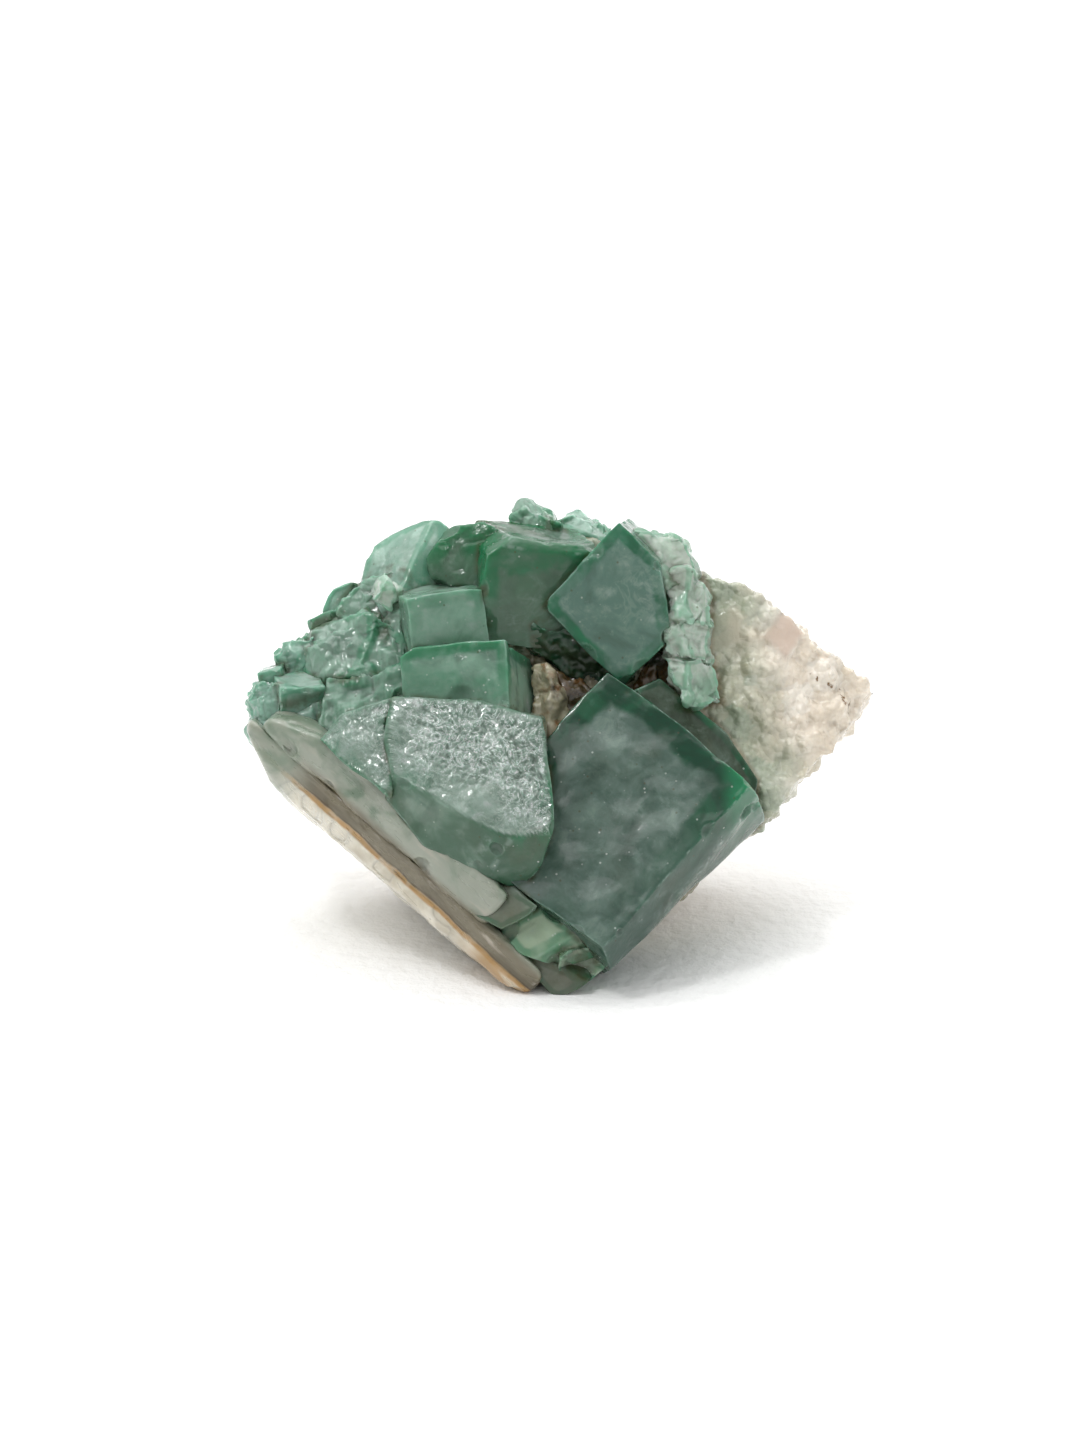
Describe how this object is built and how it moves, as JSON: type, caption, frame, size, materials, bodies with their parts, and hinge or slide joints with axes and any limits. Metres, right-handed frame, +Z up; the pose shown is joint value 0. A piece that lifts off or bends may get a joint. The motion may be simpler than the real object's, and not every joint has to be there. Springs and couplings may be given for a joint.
{
  "type": "mineral specimen",
  "caption": "Hand specimen of translucent green fluorite cubes grown on white sugary quartz, leaning back on a flat foot at the end of a V-shaped keel.",
  "frame": {"origin": "middle of the specimen's footprint box, at the plane it rests on", "axes": "+X to the right along the longest side, +Y away from the side that shows the large cubes, +Z up"},
  "size_m": [0.0728, 0.0514, 0.0479],
  "materials": {
    "deep_fluorite": "glassy, translucent dark green, with darker green rims and cloudy grey cores",
    "green_fluorite": "glassy, translucent mid green with milky veils",
    "pale_fluorite": "glassy, translucent pale mint green",
    "grey_fluorite": "smooth broken surface, grey green, streaked",
    "lilac_quartz": "satin broken surface, grey with a lilac tint, banded",
    "white_quartz": "sugary druse, white to pale pink brown",
    "rusty_quartz": "dull iron stain, ochre to brown"
  },
  "bodies": {
    "root": {"front_left_cube": "deep_fluorite", "front_left_step": "green_fluorite", "front_right_cube": "deep_fluorite", "middle_cube": "green_fluorite", "small_stepped_cube": "green_fluorite", "upper_right_cube": "deep_fluorite", "upper_centre_cube": "deep_fluorite", "left_flat_cube": "pale_fluorite", "left_tiny_cube": "pale_fluorite", "left_bead_crystal": "pale_fluorite", "upper_centre_shoulder": "green_fluorite", "upper_left_pale_cube": "pale_fluorite", "top_bud_left": "pale_fluorite", "top_bud_right": "green_fluorite", "top_pale_cluster": "pale_fluorite", "left_rounded_cluster": "green_fluorite", "left_green_block": "green_fluorite", "left_pale_cube": "pale_fluorite", "left_thin_plate": "green_fluorite", "left_edge_cluster": "pale_fluorite", "left_end_block": "pale_fluorite", "left_olive_crystal": "deep_fluorite", "druse_pale_cube": "pale_fluorite", "druse_upper_crystal": "pale_fluorite", "druse_middle_crystal": "pale_fluorite", "druse_lower_crystal": "pale_fluorite", "edge_dark_crystal": "deep_fluorite", "cavity_olive_crystal": "deep_fluorite", "cavity_quartz_crystal": "white_quartz", "cavity_brown_crystal": "rusty_quartz", "cavity_amber_crystal": "rusty_quartz", "keel_wedge_crystal": "green_fluorite", "keel_dark_cube": "deep_fluorite", "keel_green_lump": "green_fluorite", "keel_tip": "grey_fluorite", "left_slope": "grey_fluorite", "white_rind": "white_quartz", "rust_seam": "rusty_quartz", "lilac_quartz_band": "lilac_quartz", "quartz_matrix": "white_quartz"}
  },
  "joints": []
}
